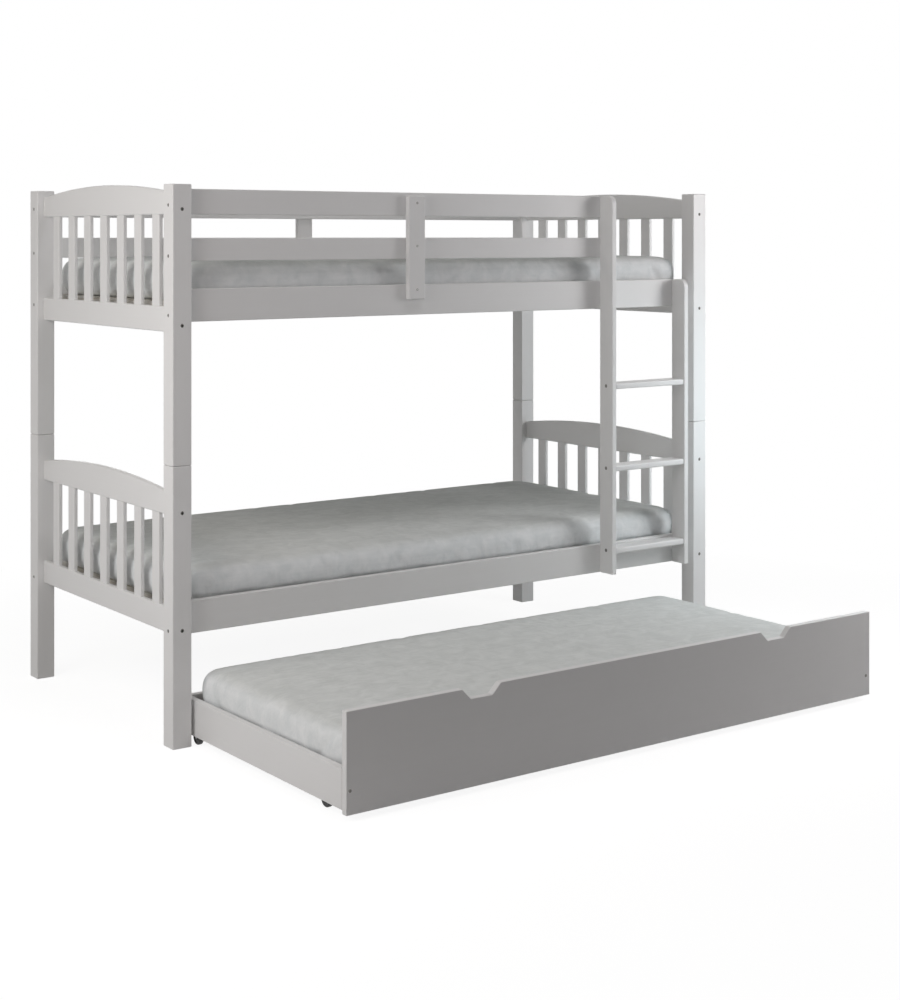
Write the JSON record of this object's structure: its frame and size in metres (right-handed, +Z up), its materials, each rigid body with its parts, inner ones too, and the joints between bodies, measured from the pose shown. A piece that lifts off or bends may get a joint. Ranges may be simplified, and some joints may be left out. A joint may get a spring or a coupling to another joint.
{
  "type": "bunk bed",
  "caption": "White painted wooden bunk bed with slatted, arched end panels, guard rails, a fixed front ladder, mattresses and a roll-out trundle bed on casters.",
  "frame": {"origin": "on the floor, in the middle of the floor area of the bed together with its trundle, which is pulled out at rest", "axes": "+X along the bed's length, to the right seen from the ladder's side; +Y from the ladder and trundle side to the back of the bed; +Z up"},
  "size_m": [1.978, 1.735, 1.527],
  "materials": {
    "white_paint": "satin white paint on solid softwood, edges eased",
    "pine": "bare planed pine slats",
    "mattress_fabric": "matt pale grey woven cover, softly wrinkled",
    "zinc_steel": "bright zinc plate",
    "black_plastic": "moulded black plastic"
  },
  "bodies": {
    "bed": {"lower_post_front_left": "white_paint", "lower_post_front_right": "white_paint", "lower_post_back_left": "white_paint", "lower_post_back_right": "white_paint", "upper_post_front_left": "white_paint", "upper_post_front_right": "white_paint", "upper_post_back_left": "white_paint", "upper_post_back_right": "white_paint", "post_dowel_front_left": "zinc_steel", "post_dowel_front_right": "zinc_steel", "post_dowel_back_left": "zinc_steel", "post_dowel_back_right": "zinc_steel", "lower_left_end_slats": "white_paint", "lower_left_end_arch": "white_paint", "lower_right_end_slats": "white_paint", "lower_right_end_arch": "white_paint", "upper_left_end_slats": "white_paint", "upper_left_end_arch": "white_paint", "upper_right_end_slats": "white_paint", "upper_right_end_arch": "white_paint", "lower_front_side_rail": "white_paint", "lower_front_cleat": "white_paint", "lower_back_side_rail": "white_paint", "lower_back_cleat": "white_paint", "upper_front_side_rail": "white_paint", "upper_front_cleat": "white_paint", "upper_back_side_rail": "white_paint", "upper_back_cleat": "white_paint", "front_top_guard_rail": "white_paint", "front_middle_guard_rail": "white_paint", "front_guard_support": "white_paint", "back_top_guard_rail": "white_paint", "back_middle_guard_rail": "white_paint", "back_guard_support": "white_paint", "ladder_left_stile": "white_paint", "ladder_right_stile": "white_paint", "ladder_rung_1": "white_paint", "ladder_rung_2": "white_paint", "ladder_rung_3": "white_paint", "lower_slat_base": "pine", "lower_mattress": "mattress_fabric", "upper_slat_base": "pine", "upper_mattress": "mattress_fabric"},
    "trundle": {"trundle_fascia": "white_paint", "trundle_left_side": "white_paint", "trundle_right_side": "white_paint", "trundle_back": "white_paint", "trundle_front_cleat": "white_paint", "trundle_back_cleat": "white_paint", "trundle_slat_base": "pine", "trundle_mattress": "mattress_fabric", "trundle_bracket_front_left": "zinc_steel", "trundle_bracket_front_right": "zinc_steel", "trundle_bracket_back_left": "zinc_steel", "trundle_bracket_back_right": "zinc_steel"},
    "wheel_front_left": {"trundle_wheel_front_left": "black_plastic"},
    "wheel_front_right": {"trundle_wheel_front_right": "black_plastic"},
    "wheel_back_left": {"trundle_wheel_back_left": "black_plastic"},
    "wheel_back_right": {"trundle_wheel_back_right": "black_plastic"}
  },
  "joints": [
    {"name": "trundle_slide", "type": "slide", "parent": "bed", "child": "trundle", "axis": [0, 1, 0], "range_m": [-0.14, 0.758]},
    {"name": "wheel_front_left_spin", "type": "hinge", "parent": "trundle", "child": "wheel_front_left", "pos_m": [-0.896, -0.7415, 0.02], "axis": [1, 0, 0], "continuous": true},
    {"name": "wheel_front_right_spin", "type": "hinge", "parent": "trundle", "child": "wheel_front_right", "pos_m": [0.896, -0.7415, 0.02], "axis": [1, 0, 0], "continuous": true},
    {"name": "wheel_back_left_spin", "type": "hinge", "parent": "trundle", "child": "wheel_back_left", "pos_m": [-0.9065, -0.0995, 0.02], "axis": [1, 0, 0], "continuous": true},
    {"name": "wheel_back_right_spin", "type": "hinge", "parent": "trundle", "child": "wheel_back_right", "pos_m": [0.9065, -0.0995, 0.02], "axis": [1, 0, 0], "continuous": true}
  ],
  "couplings": [
    {"joint": "wheel_front_left_spin", "follows": "trundle_slide", "rad_per_m": -50},
    {"joint": "wheel_front_right_spin", "follows": "trundle_slide", "rad_per_m": -50},
    {"joint": "wheel_back_left_spin", "follows": "trundle_slide", "rad_per_m": -50},
    {"joint": "wheel_back_right_spin", "follows": "trundle_slide", "rad_per_m": -50}
  ]
}
